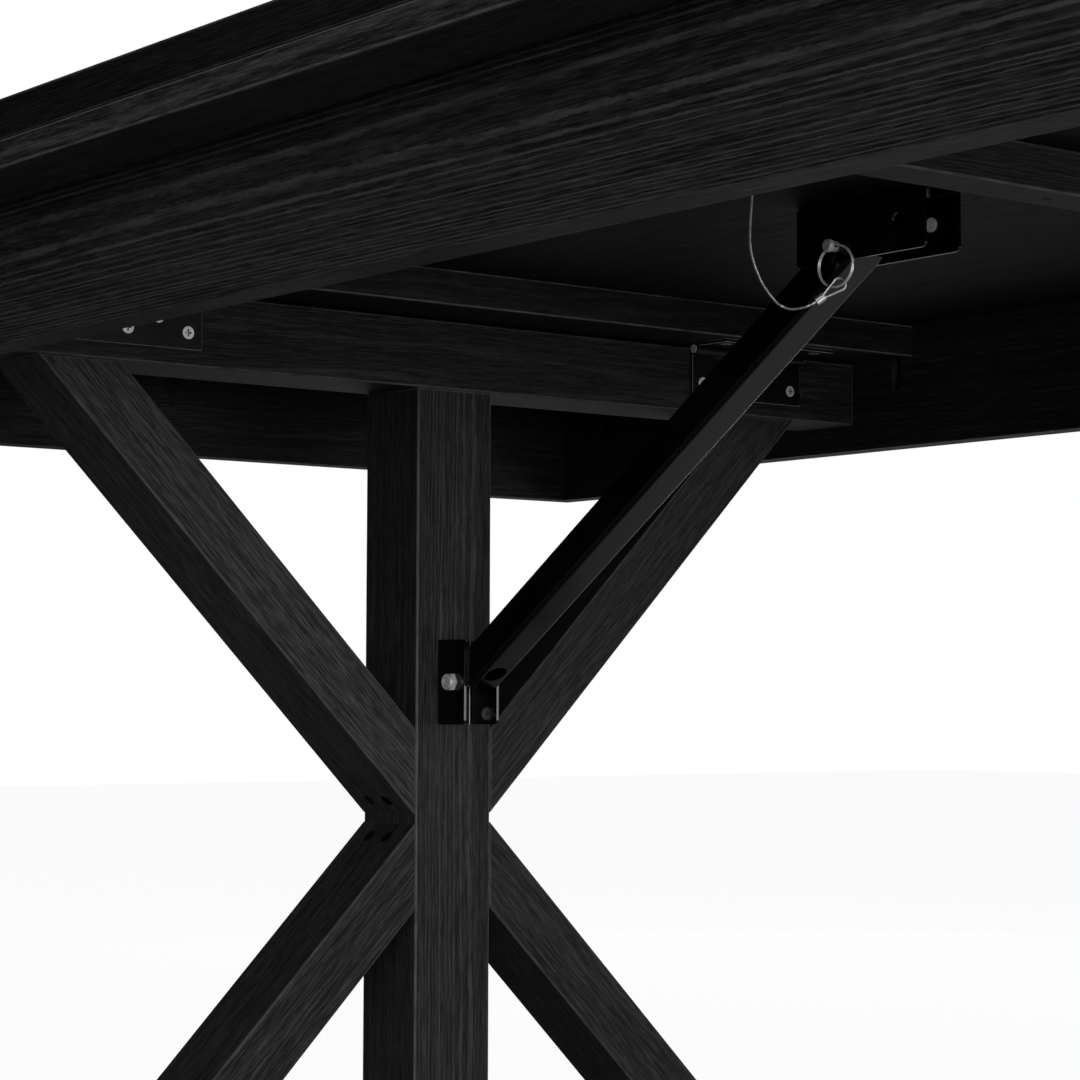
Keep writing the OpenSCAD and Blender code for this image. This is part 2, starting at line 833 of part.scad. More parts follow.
module lock_pin() {
    button_t = 3;
    button_edge = 0.7;
    tip_chamfer = 0.8;
    body_len = 2 * wall_y + pin_tip + pin_head - tip_chamfer;
    color(zinc)
        translate(lock)
            difference() {
                rotate([-90, 0, 0]) {
                    translate([0, 0, -wall_y - pin_head]) cylinder(d = pin_d, h = body_len);
                    translate([0, 0, wall_y + pin_tip - tip_chamfer])
                        cylinder(d1 = pin_d, d2 = pin_d - 2 * tip_chamfer, h = tip_chamfer);
                    translate([0, 0, -wall_y - pin_head]) {
                        cylinder(d1 = pin_d, d2 = pin_d + 2 * button_edge, h = button_edge);
                        translate([0, 0, button_edge])
                            cylinder(d = pin_d + 2 * button_edge, h = button_t - button_edge);
                    }
                }
                translate([0, head_hole_y, 0]) rotate([0, 90 - ring_tilt, 0])
                    cylinder(d = head_hole_d, h = 2 * pin_d, center = true);
            }
}

module pull_ring() {
    color(zinc)
        translate([lock.x, head_hole_y, lock.z]) rotate([0, -ring_tilt, 0])
            rotate([0, 0, ring_turn]) translate([0, 0, -ring_r]) rotate([90, 0, 0])
                rotate_extrude() translate([ring_r, 0]) circle(d = ring_wire, $fn = 24);
}

// Eye of the lanyard round the foot of the ring, with its ferrule.
module lanyard_eye() {
    neck = norm(eye_way) + eye_seat - ferrule_len;
    spread = eye_r - (ferrule_w - ferrule_t) / 2;
    leg = norm([neck, spread]);
    leg_lap = 0.2;
    lean = atan2(spread, neck);
    color(zinc)
        translate(ring_low - eye_seat * unit(eye_way))
            rotate([0, -asin(-eye_way.z / norm(eye_way)), atan2(-eye_way.y, -eye_way.x)]) {
                rotate([90, 0, 0]) rotate([0, 0, -90]) rotate_extrude(angle = 180)
                    translate([eye_r, 0]) circle(d = lanyard_d, $fn = 16);
                for (s = [-1, 1])
                    translate([0, 0, s * eye_r]) rotate([0, -90 - s * lean, 0])
                        translate([0, 0, -leg_lap])
                            cylinder(d = lanyard_d, h = leg + 3 * leg_lap, $fn = 16);
                translate([-neck, 0, 0]) rotate([0, -90, 0])
                    linear_extrude(ferrule_len - 0.1) {
                        square([ferrule_w - ferrule_t, ferrule_t], center = true);
                        for (s = [-1, 1])
                            translate([s * (ferrule_w - ferrule_t) / 2, 0])
                                circle(d = ferrule_t, $fn = 24);
                    }
            }
}

// Point at t along the span from p1 to p2 of a curve through p0, p1, p2, p3.
function curve(p0, p1, p2, p3, t) =
    (2 * p1 + (p2 - p0) * t + (2 * p0 - 5 * p1 + 4 * p2 - p3) * t * t
     + (3 * p1 - p0 - 3 * p2 + p3) * t * t * t) / 2;

function smooth(points, n) = let (last = len(points) - 1) [
    for (i = [0:last - 1], k = [0:n - 1])
        curve(points[max(i - 1, 0)], points[i], points[i + 1], points[min(i + 2, last)], k / n),
    points[last]];

function unit(v) = v / norm(v);

// Tube of eight sides along the points; no stretch of it runs along the x axis.
module tube(points, d) {
    sides = 8;
    last = len(points) - 1;
    rings = [for (i = [0:last])
        let (way = unit(points[min(i + 1, last)] - points[max(i - 1, 0)]),
             u = unit(cross(way, [1, 0, 0])), w = cross(way, u))
        for (k = [0:sides - 1])
            points[i] + d / 2 * (cos(k * 360 / sides) * u + sin(k * 360 / sides) * w)];
    walls = [for (i = [0:last - 1], k = [0:sides - 1])
        let (a = i * sides, n = (k + 1) % sides) [a + k, a + n, a + sides + n, a + sides + k]];
    ends = [[for (k = [sides - 1:-1:0]) k], [for (k = [0:sides - 1]) last * sides + k]];
    polyhedron(points = rings, faces = concat(walls, ends));
}

module lanyard() {
    color(zinc) tube(smooth(lanyard_points, rings_per_span), lanyard_d);
}

plank(0);  // plank_1
plank(1);  // plank_2
plank(2);  // plank_3
plank(3);  // plank_4
plank(4);  // plank_5
edge_strips_long();
edge_strips_end();
apron_long(-1);  // apron_front
apron_long(1);  // apron_back
apron_end(-1);  // apron_left
apron_end(1);  // apron_right
hinge_battens();
cross_battens();
frame_screws();
top_hinge_leaves();
underside_screws();
left() lock_bracket();  // left_lock_bracket
right() lock_bracket();  // right_lock_bracket
bracket_rivets();
lanyard_anchors();
left() lanyard();  // left_lanyard
right() lanyard();  // right_lanyard
left() top_rail();  // left_top_rail
left() post();  // left_post
left() foot_rail();  // left_foot_rail
left() strut(1, -1);  // left_strut_upper_front
left() strut(1, 1);  // left_strut_upper_back
left() strut(-1, -1);  // left_strut_lower_front
left() strut(-1, 1);  // left_strut_lower_back
left() glides();  // left_glides
left() joint_screws();  // left_joint_screws
left() rail_hinge_leaves();  // left_rail_hinge_leaves
left() hinge_pins();  // left_hinge_pins
left() hardware_screws();  // left_hardware_screws
left() post_bracket();  // left_post_bracket
left() pivot_bolt();  // left_pivot_bolt
left() pivot_nut();  // left_pivot_nut
left() brace();  // left_brace
left() lock_pin();  // left_lock_pin
left() pull_ring();  // left_pull_ring
left() lanyard_eye();  // left_lanyard_eye
right() top_rail();  // right_top_rail
right() post();  // right_post
right() foot_rail();  // right_foot_rail
right() strut(1, 1);  // right_strut_upper_front
right() strut(1, -1);  // right_strut_upper_back
right() strut(-1, 1);  // right_strut_lower_front
right() strut(-1, -1);  // right_strut_lower_back
right() glides();  // right_glides
right() joint_screws();  // right_joint_screws
right() rail_hinge_leaves();  // right_rail_hinge_leaves
right() hinge_pins();  // right_hinge_pins
right() hardware_screws();  // right_hardware_screws
right() post_bracket();  // right_post_bracket
right() pivot_bolt();  // right_pivot_bolt
right() pivot_nut();  // right_pivot_nut
right() brace();  // right_brace
right() lock_pin();  // right_lock_pin
right() pull_ring();  // right_pull_ring
right() lanyard_eye();  // right_lanyard_eye
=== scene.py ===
"""Looks of the farm table with folding trestles: eased wooden edges, stained grain,
gloss black and zinc hardware, the two lanyards, and a pale studio."""

import json
import math

import bmesh
import bpy
from mathutils import Matrix, Vector


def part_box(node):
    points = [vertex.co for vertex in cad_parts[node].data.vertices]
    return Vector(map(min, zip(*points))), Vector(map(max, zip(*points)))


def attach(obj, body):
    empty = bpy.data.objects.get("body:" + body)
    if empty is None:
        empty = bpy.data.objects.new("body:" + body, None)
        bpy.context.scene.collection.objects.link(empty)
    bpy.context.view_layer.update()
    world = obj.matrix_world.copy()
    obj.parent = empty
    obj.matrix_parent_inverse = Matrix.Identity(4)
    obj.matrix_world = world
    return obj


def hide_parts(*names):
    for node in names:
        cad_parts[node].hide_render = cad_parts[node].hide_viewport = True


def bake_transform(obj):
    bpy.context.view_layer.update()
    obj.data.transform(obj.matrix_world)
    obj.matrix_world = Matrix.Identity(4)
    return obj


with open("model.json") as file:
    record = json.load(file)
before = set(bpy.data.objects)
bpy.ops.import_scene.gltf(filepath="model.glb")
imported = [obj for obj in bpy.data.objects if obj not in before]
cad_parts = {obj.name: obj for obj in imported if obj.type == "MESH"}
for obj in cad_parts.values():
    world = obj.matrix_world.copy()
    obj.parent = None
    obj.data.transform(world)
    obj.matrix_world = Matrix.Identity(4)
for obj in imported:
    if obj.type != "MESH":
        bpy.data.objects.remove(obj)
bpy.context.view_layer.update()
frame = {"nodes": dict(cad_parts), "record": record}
nodes = frame["nodes"]
slots = {s["node"]: s["material_slot"] for s in frame["record"]["subparts"]}
bodies = {n: body for body, members in frame["record"]["behaviour"]["bodies"].items()
          for n in members}
SIDES = ("left", "right")
X, Y, Z = Vector((1, 0, 0)), Vector((0, 1, 0)), Vector((0, 0, 1))


# ---- Camera ----

camera_data = bpy.data.cameras.new("camera")
camera = bpy.data.objects.new("camera", camera_data)
bpy.context.scene.collection.objects.link(camera)
camera.location = (0.8470, -1.1565, 0.4389)
camera.rotation_euler = (math.radians(94.36), math.radians(-0.05), math.radians(50.996))
camera_data.sensor_width = 36
camera_data.lens = 93.7
camera_data.shift_x = -0.0608
camera_data.shift_y = -0.0405
camera_data.clip_end = 60
bpy.context.scene.camera = camera


# ---- Small helpers ----

def box_centre(node):
    low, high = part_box(node)
    return (low + high) / 2


def new_object(name, mesh):
    obj = bpy.data.objects.new(name, mesh)
    bpy.context.scene.collection.objects.link(obj)
    return obj


def turned(point, side):
    """A point given for the left end, at the end that side names."""
    return Vector(point) if side == "left" else Vector((-point[0], -point[1], point[2]))


# ---- Lanyards ----
# The same route as in the part's source, from the ferrule to the anchor under the top.

LOCK = Vector((-0.3465, 0, 0.7125))
ROUTE = [(-4.5, -27, -33.5), (-9, -32, -36.5), (-15, -37, -37.5), (-18.5, -41, -36),
         (-19.5, -46, -33), (-21, -54.5, -23.5), (-21, -61.5, -11.5), (-19, -66, -2),
         (-14, -70.5, 8), (-6.5, -75.5, 24.9)]
CABLE_R = 0.00075
LOBE = 0.1                      # depth of a strand's lobe, as a share of the radius
ROUTE_STEPS = 24                # points of the cable between two points of the route


def curve_point(p0, p1, p2, p3, t):
    return (2 * p1 + (p2 - p0) * t + (2 * p0 - 5 * p1 + 4 * p2 - p3) * t ** 2
            + (3 * p1 - p0 - 3 * p2 + p3) * t ** 3) / 2


def smooth_route(points, steps):
    last = len(points) - 1
    out = [curve_point(points[max(i - 1, 0)], points[i], points[i + 1],
                       points[min(i + 2, last)], k / steps)
           for i in range(last) for k in range(steps)]
    return out + [points[last]]


def cable_mesh(name, points, radius, strands=6, sides=24, turns_per_m=260):
    """A laid cable: a tube whose section has one lobe for each strand, twisted along it.
    Gives its mesh and its length."""
    loops, lengths = [], [0.0]
    for a, b in zip(points, points[1:]):
        lengths.append(lengths[-1] + (b - a).length)
    way = (points[1] - points[0]).normalized()
    across = way.cross(X).normalized()
    bm = bmesh.new()
    for i, p in enumerate(points):
        ahead = (points[min(i + 1, len(points) - 1)] - points[max(i - 1, 0)]).normalized()
        across = (across - ahead * across.dot(ahead)).normalized()
        up = ahead.cross(across)
        twist = lengths[i] * turns_per_m * 2 * math.pi / strands
        ring = []
        for k in range(sides):
            a = 2 * math.pi * k / sides
            r = radius * (1 - LOBE + LOBE * abs(math.cos(strands / 2 * (a - twist))))
            ring.append(bm.verts.new(p + r * (math.cos(a) * across + math.sin(a) * up)))
        loops.append(ring)
    for low, high in zip(loops, loops[1:]):
        for k in range(sides):
            n = (k + 1) % sides
            bm.faces.new((low[k], low[n], high[n], high[k]))
    bm.faces.new(list(reversed(loops[0])))
    bm.faces.new(loops[-1])
    mesh = bpy.data.meshes.new(name)
    bm.to_mesh(mesh)
    bm.free()
    mesh.shade_smooth()
    return mesh, lengths[-1]


lanyards = []
for side in SIDES:
    route = [turned(LOCK + Vector(p) / 1000, side) for p in ROUTE]
    path = smooth_route(route, ROUTE_STEPS)
    path.reverse()
    mesh, length = cable_mesh(f"{side}_lanyard_cable", path, CABLE_R)
    cable = new_object(f"{side}_lanyard_cable", mesh)
    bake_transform(cable)
    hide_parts(f"{side}_lanyard")
    lanyards.append(cable)


# ---- Pull rings ----
# A split ring: two turns of wire side by side, joined by a step near each loose end.

HEAD_HOLE = LOCK + Vector((0, -0.0182, 0))
RING_R, RING_WIRE = 0.01255, 0.00058
RING_LEAN, RING_YAW = math.radians(14), math.radians(9)
RING_END = 1.7                  # where its loose ends lie, in radians from the top
RING_STEPS = 192
TURN_GAP = 2.05                 # between its two turns, in wire radii
STEP_FROM, STEP_LONG = 0.94, 0.12   # of the step from turn to turn, in turns


def split_ring(name, side):
    left = side == "left"
    lean = Matrix.Rotation(-RING_LEAN if left else RING_LEAN, 3, "Y")
    place = lean @ Matrix.Rotation(RING_YAW if left else RING_YAW + math.pi, 3, "Z")
    points = []
    for k in range(RING_STEPS + 1):
        t = 2 * k / RING_STEPS
        a = 2 * math.pi * t + RING_END
        step = min(max((t - STEP_FROM) / STEP_LONG, 0), 1)
        along = (step * step * (3 - 2 * step) - 0.5) * TURN_GAP * RING_WIRE
        local = Vector((RING_R * math.sin(a), along, RING_R * math.cos(a) - RING_R))
        points.append(turned(HEAD_HOLE, side) + place @ local)
    mesh, _ = cable_mesh(name, points, RING_WIRE / (1 - LOBE / 2), strands=1, sides=14,
                         turns_per_m=0)
    ring = new_object(name, mesh)
    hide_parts(f"{side}_pull_ring")
    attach(ring, bodies[f"{side}_pull_ring"])
    return ring


rings = [split_ring(f"{side}_split_ring", side) for side in SIDES]


# ---- Materials ----

class Shader:
    """A material, with short calls for its nodes."""

    def __init__(self, name):
        self.material = bpy.data.materials.new(name)
        self.material.use_nodes = True
        self.tree = self.material.node_tree
        self.tree.nodes.clear()
        self.out = self.tree.nodes.new("ShaderNodeOutputMaterial")

    def add(self, kind, sockets=None, **settings):
        node = self.tree.nodes.new("ShaderNode" + kind)
        for key, value in settings.items():
            setattr(node, key, value)
        for key, value in (sockets or {}).items():
            if isinstance(value, bpy.types.NodeSocket):
                self.tree.links.new(value, node.inputs[key])
            else:
                node.inputs[key].default_value = value
        return node

    def math(self, operation, *values, clamp=False):
        return self.add("Math", dict(enumerate(values)), operation=operation,
                        use_clamp=clamp).outputs[0]

    def scaled(self, vector, scale):
        return self.add("Mapping", {"Vector": vector, "Scale": scale}).outputs[0]

    def noise(self, vector, scale, detail=2.0, roughness=0.5):
        return self.add("TexNoise", {"Vector": self.scaled(vector, scale), "Scale": 1.0,
                                     "Detail": detail, "Roughness": roughness}).outputs["Fac"]

    def span(self, value, low, high, to_low=0.0, to_high=1.0):
        return self.add("MapRange", {"Value": value, "From Min": low, "From Max": high,
                                     "To Min": to_low, "To Max": to_high},
                        clamp=True).outputs[0]

    def mix(self, factor, a, b):
        node = self.add("Mix", {0: factor}, data_type="RGBA")
        for index, value in ((6, a), (7, b)):
            if isinstance(value, bpy.types.NodeSocket):
                self.tree.links.new(value, node.inputs[index])
            else:
                node.inputs[index].default_value = (*value, 1)
        return node.outputs[2]

    def surface(self, height=None, distance=0.001, strength=1.0, **sockets):
        shader = self.add("BsdfPrincipled",
                          {k.replace("_", " "): v for k, v in sockets.items()})
        if height is not None:
            bump = self.add("Bump", {"Height": height, "Distance": distance,
                                     "Strength": strength})
            self.tree.links.new(bump.outputs[0], shader.inputs["Normal"])
        self.tree.links.new(shader.outputs[0], self.out.inputs["Surface"])
        return self.material


def frame_of(way):
    """Rotation that takes way to the x axis."""
    way = way.normalized()
    side = (Y if abs(way.y) < 0.6 else Z).cross(way).normalized()
    return Matrix((way, side, way.cross(side)))


DEEP_STAIN = (0.0034, 0.0033, 0.0032)
PALE_STAIN = (0.051, 0.050, 0.049)
# Colour of the eased edges of the wood: partly stain abraded away, partly a painted highlight.
RUBBED_WOOD_AND_HIGHLIGHT = (0.13, 0.127, 0.123)
KNOT_STAIN = (0.0012, 0.0011, 0.0010)
KNOT_NEAR, KNOT_FAR = 0.002, 0.026      # how far a knot bends the rings, in metres
KNOT_RIM = 0.003


def stained(s, tone, shade):
    """The stain's colour for a tone from 0 to 1, on wood of this shade: partly its own tone,
    partly painted light and shade.
    """
    return s.mix(tone, [shade * c for c in DEEP_STAIN], [shade * c for c in PALE_STAIN])


def wood(name, grain, heart, pitch=0.0012, bold=1.0, fine=1.0, wild=1.0, shade=1.0,
         worn=1.0, gloss=0.16, upper=None, knots=()):
    """Black stain on wire-brushed softwood. The growth rings go round a line along grain
    through heart, so that each face shows its own cut of them; their waves scale with
    pitch and with wild. bold is the contrast of the rings, fine that of the fibres, shade
    how pale the whole piece is, partly its own tone and partly painted light and shade
    for the light that falls on it, worn how pale its eased edges turn, partly abrasion
    and partly a painted highlight, and gloss its sheen. upper is the shade of the faces
    that look up, where it is another, so that the faces that don't look up get painted
    shade. A knot is its place and its radius."""
    s = Shader(name)
    turn = frame_of(grain)
    place = s.add("TexCoord").outputs["Object"]
    local = s.add("Mapping", {"Vector": place, "Rotation": turn.to_euler(),
                              "Location": -(turn @ heart)}).outputs[0]
    parts = s.add("SeparateXYZ", {0: local}).outputs
    radius = s.math("SQRT", s.math("ADD", s.math("MULTIPLY", parts[1], parts[1]),
                                   s.math("MULTIPLY", parts[2], parts[2])))
    slow = s.noise(local, (1.7, 5, 5), 2)
    wavy = s.noise(local, (14, 40, 40), 3, 0.55)
    torn = s.noise(local, (170, 420, 420), 2, 0.6)
    turns = s.math("DIVIDE", radius, pitch)
    turns = s.math("MULTIPLY_ADD", slow, 5.0 * wild, turns)
    turns = s.math("MULTIPLY_ADD", wavy, 1.9 * wild, turns)
    turns = s.math("MULTIPLY_ADD", torn, 0.35, turns)
    # A knot pushes the rings round itself, and is darker in its middle.
    dark_knot = None
    for *knot, size in knots:
        away = s.add("VectorMath", {0: place, 1: knot}, operation="DISTANCE").outputs["Value"]
        near = s.span(away, KNOT_NEAR, KNOT_FAR, 1.0, 0.0)
        turns = s.math("MULTIPLY_ADD", s.math("MULTIPLY", near, near), 2.0, turns)
        spot = s.span(s.math("MULTIPLY_ADD", torn, KNOT_RIM, away), size, size + KNOT_RIM,
                      1.0, 0.0)
        dark_knot = spot if dark_knot is None else s.math("MAXIMUM", dark_knot, spot)
    # The rings are unevenly wide. The late wood is the narrow band at the end of each.
    uneven = s.add("TexNoise", {"W": turns, "Scale": 0.31, "Detail": 1.0},
                   noise_dimensions="1D").outputs["Fac"]
    phase = s.math("FRACT", s.math("MULTIPLY_ADD", uneven, 1.1, turns))
    late = s.math("MULTIPLY", s.span(phase, 0.54, 0.66), s.span(phase, 0.86, 0.98, 1.0, 0.0))
    late = s.math("MULTIPLY", late, s.span(s.noise(local, (26, 160, 160), 2), 0.36, 0.56,
                                           0.35, 1.0))
    late = s.math("MULTIPLY", late, s.span(uneven, 0.35, 0.62, 1.0, 0.55))
    # Along the grain: fibres, brushed dashes, streaks, pores and broad patches.
    fibre = s.noise(local, (34, 900, 900), 3, 0.65)
    dash = s.span(s.noise(local, (75, 1500, 1500), 2, 0.5), 0.52, 0.62)
    streak = s.noise(local, (8, 200, 200), 2, 0.6)
    pores = s.span(s.noise(local, (40, 1300, 1300), 1, 0.5), 0.58, 0.66)
    patch = s.noise(local, (3.5, 14, 14), 3)
    tone = s.math("MULTIPLY_ADD", late, 0.66 * bold, s.span(fibre, 0.4, 0.62, 0.0, 0.26 * fine))
    tone = s.math("MULTIPLY_ADD", dash, 0.27 * fine, tone)
    tone = s.math("ADD", tone, s.span(streak, 0.38, 0.62, -0.04, 0.07))
    tone = s.math("ADD", tone, s.span(patch, 0.36, 0.64, -0.05, 0.07))
    tone = s.math("SUBTRACT", tone, s.math("MULTIPLY", pores, 0.16 * fine), clamp=True)
    stain = stained(s, tone, shade)
    # Faces that look up take the shade upper, and the others keep the piece's shade, darker on
    # the planks: painted shade on the faces that don't look up.
    if upper is not None:
        facing = s.add("SeparateXYZ", {0: s.add("NewGeometry").outputs["Normal"]}).outputs[2]
        stain = s.mix(s.span(facing, 0.3, 0.6), stain, stained(s, tone, upper))
    # The eased edges turn paler: partly abrasion, partly a painted highlight.
    wear_and_highlight = s.add("Attribute", attribute_name="wear_and_highlight").outputs["Fac"]
    rubbed_and_highlit = s.math("MULTIPLY", wear_and_highlight, s.span(s.noise(local, (60, 160, 160), 3), 0.3, 0.6,
                                             0.35, 1.0))
    stain = s.mix(s.math("MULTIPLY", rubbed_and_highlit, 0.9 * worn), stain, RUBBED_WOOD_AND_HIGHLIGHT)
    if dark_knot is not None:
        stain = s.mix(dark_knot, stain, KNOT_STAIN)
    rough = s.span(s.math("ADD", late, fibre), 0.2, 1.6, 0.68, 0.5)
    height = s.math("ADD", s.math("MULTIPLY", late, 0.6 * bold),
                    s.math("MULTIPLY_ADD", fibre, 0.5 * fine, s.math("MULTIPLY", pores, -0.3)))
    return s.surface(height, 0.0005, 0.8, Base_Color=stain, Roughness=rough,
                     Specular_IOR_Level=gloss)


def black_paint(name, deep=(0.0006, 0.0014), rough=(0.14, 0.22), gloss=0.34, edge_pale_and_highlight=0.2,
                rub_and_highlight_span=(0.45, 0.6)):
    """Gloss black paint on pressed steel, with faint orange peel, and eased edges turned pale,
    partly as abraded paint and partly as a painted highlight. deep and rough are the ranges
    of its colour and roughness, edge is how pale those edges turn, and bare is where that
    paleness starts and is whole."""
    s = Shader(name)
    place = s.add("TexCoord").outputs["Object"]
    peel = s.noise(place, (420, 420, 420), 2)
    cloud = s.noise(place, (28, 28, 28), 3)
    dust = s.span(s.noise(place, (1500, 1500, 1500), 1), 0.66, 0.72)
    # The eased edges turn paler: partly abraded paint, partly a painted highlight.
    wear_and_highlight = s.add("Attribute", attribute_name="wear_and_highlight").outputs["Fac"]
    rubbed_and_highlit = s.math("MULTIPLY", wear_and_highlight, s.span(s.noise(place, (170, 170, 170), 3), *rub_and_highlight_span))
    colour = s.mix(s.span(cloud, 0.3, 0.7), (deep[0],) * 3, (deep[1],) * 3)
    colour = s.mix(s.math("MULTIPLY", dust, 0.2), colour, (0.02, 0.02, 0.02))
    colour = s.mix(s.math("MULTIPLY", rubbed_and_highlit, 0.7), colour, (edge_pale_and_highlight, edge_pale_and_highlight, edge_pale_and_highlight * 1.02))
    return s.surface(peel, 0.00003, 0.5, Base_Color=colour,
                     Roughness=s.span(cloud, 0.3, 0.7, *rough), Specular_IOR_Level=gloss)


# Painted shade on zinc: how deep a recess darkens, and the dark colour that it gets.
RECESS_DEPTH = 0.0016
PAINTED_RECESS_SHADE = (0.03, 0.03, 0.035)


def zinc(name, bright=0.88, rough=(0.3, 0.45), metal=0.6):
    """Bright zinc plate: fine turning marks, a slightly mottled finish, and painted shade, a
    dark colour, in the recesses of the screw heads."""
    s = Shader(name)
    place = s.add("TexCoord").outputs["Object"]
    mottle = s.noise(place, (240, 240, 240), 4, 0.6)
    marks = s.noise(place, (900, 2600, 900), 2)
    colour = s.mix(s.span(mottle, 0.3, 0.7), (bright * 0.8, bright * 0.81, bright * 0.83),
                   (bright * 1.12, bright * 1.12, bright * 1.13))
    # Painted shade: the colour turns dark where ambient occlusion finds a recess.
    clear = s.add("AmbientOcclusion", {"Distance": RECESS_DEPTH}, samples=8).outputs["AO"]
    colour = s.mix(s.span(clear, 0.45, 0.85), PAINTED_RECESS_SHADE, colour)
    roughness = s.math("ADD", s.span(mottle, 0.3, 0.7, rough[0], rough[1]),
                       s.math("MULTIPLY_ADD", marks, 0.1, -0.05))
    return s.surface(marks, 0.00003, 0.5, Base_Color=colour, Metallic=metal,
                     Roughness=roughness)


def cable_steel(name):
    """Galvanised wire: greyer and duller in fine random patches."""
    s = Shader(name)
    place = s.add("TexCoord").outputs["Object"]
    grime = s.noise(place, (700, 700, 700), 3)
    colour = s.mix(s.span(grime, 0.35, 0.65), (0.42, 0.42, 0.42), (0.68, 0.68, 0.67))
    return s.surface(grime, 0.00005, 0.5, Base_Color=colour, Metallic=0.85,
                     Roughness=s.span(grime, 0.3, 0.7, 0.3, 0.45))


def plastic(name):
    """Matt black glide, finely textured."""
    s = Shader(name)
    place = s.add("TexCoord").outputs["Object"]
    grain = s.noise(place, (1800, 1800, 1800), 2)
    scuff = s.noise(place, (90, 300, 90), 3)
    colour = s.mix(s.span(scuff, 0.55, 0.75), (0.022, 0.022, 0.023), (0.06, 0.06, 0.06))
    return s.surface(grain, 0.00006, 0.6, Base_Color=colour,
                     Roughness=s.span(grain, 0.3, 0.7, 0.5, 0.65), Specular_IOR_Level=0.4)


# ---- Pieces with eased edges ----

WOOD_EASE, WOOD_SHORT = 0.0013, 0.03
STEEL_EASE, STEEL_SHORT = 0.0004, 0.006
LEAF_EASE = 0.0006
WELD = 2e-6                             # points nearer than this are one
FLAT, SHARP, CREASE = (math.radians(a) for a in (0.4, 35, 30))


def eased(node, material, width, shortest):
    """A copy of a CAD solid with its convex edges longer than shortest rounded over by
    width. The new narrow faces carry a mark that the materials lighten, partly as abrasion
    and partly as a painted highlight along the edges."""
    bm = bmesh.new()
    bm.from_mesh(nodes[node].data)
    bmesh.ops.remove_doubles(bm, verts=bm.verts, dist=WELD)
    bmesh.ops.dissolve_limit(bm, angle_limit=FLAT, verts=bm.verts, edges=bm.edges)
    # Marks the new narrow faces, which the materials lighten: partly abrasion, partly a painted
    # highlight.
    wear_and_highlight = bm.faces.layers.float.new("wear_and_highlight")
    edges = [e for e in bm.edges
             if len(e.link_faces) == 2 and e.is_convex and e.calc_length() > shortest
             and e.calc_face_angle() > SHARP]
    made = bmesh.ops.bevel(bm, geom=edges, offset=width, offset_type="OFFSET", segments=2,
                           profile=0.5, affect="EDGES", clamp_overlap=True)
    for face in made["faces"]:
        face[wear_and_highlight] = 1.0
    mesh = bpy.data.meshes.new(f"{node}_eased")
    bm.to_mesh(mesh)
    bm.free()
    mesh.materials.clear()
    mesh.materials.append(material)
    obj = new_object(f"{node}_finish", mesh)
    mesh.shade_smooth()
    mesh.set_sharp_from_angle(angle=CREASE)
    weigh = obj.modifiers.new("weigh", "WEIGHTED_NORMAL")
    weigh.keep_sharp = True
    weigh.weight = 100
    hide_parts(node)
    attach(obj, bodies[node])
    return obj


def wooden(node, grain, heart_off, **look):
    """Finish one wooden solid. heart_off is the heart of the tree from its middle."""
    eased(node, wood(f"wood_{node}", grain, box_centre(node) + Vector(heart_off), **look),
          WOOD_EASE, WOOD_SHORT)


# Table top: the planks run along x, and each is cut at another distance from the heart.
# Each piece's shade, here and on the trestles, is partly its own tone and partly painted
# light and shade for the light that falls on it; the planks' undersides get painted shade.
for number, off in enumerate(((0.2, 0.03, -0.11), (0.5, -0.05, 0.12), (-0.3, 0.02, 0.1),
                              (0.1, 0.06, -0.12), (-0.6, -0.03, 0.11)), 1):
    wooden(f"plank_{number}", X + 0.006 * Z, off, pitch=0.0013, bold=0.3, fine=0.8,
           shade=0.5, worn=0.3, gloss=0.09, upper=1.3)
wooden("edge_strips_long", X, (0.3, -0.1, 0.05), pitch=0.0016, bold=0.7, wild=0.5,
       shade=1.7, worn=0.7)
wooden("edge_strips_end", Y, (0.05, 0.2, 0.1), pitch=0.0016, bold=0.7, wild=0.5, shade=1.7,
       worn=0.7)
wooden("apron_front", X, (-0.2, 0.14, 0.018), pitch=0.0006, bold=1.35, wild=0.2,
       shade=1.1)
wooden("apron_back", X, (0.3, -0.15, 0.01), pitch=0.0007, bold=0.3, fine=0.7,
       knots=[(-1.0765, 0.405, 0.6886, 0.009)])
wooden("apron_left", Y, (0.12, 0.3, -0.03), pitch=0.0009, bold=0.3, fine=0.7,
       shade=0.85)
wooden("apron_right", Y, (-0.12, -0.2, 0.03), pitch=0.0008, bold=1.1)
wooden("hinge_battens", Y, (0.1, 0.1, -0.08), pitch=0.0012, bold=0.35, fine=0.8, shade=0.62)
wooden("cross_battens", Y, (-0.02, 0.4, 0.1), pitch=0.0012, bold=0.5, shade=1.1)

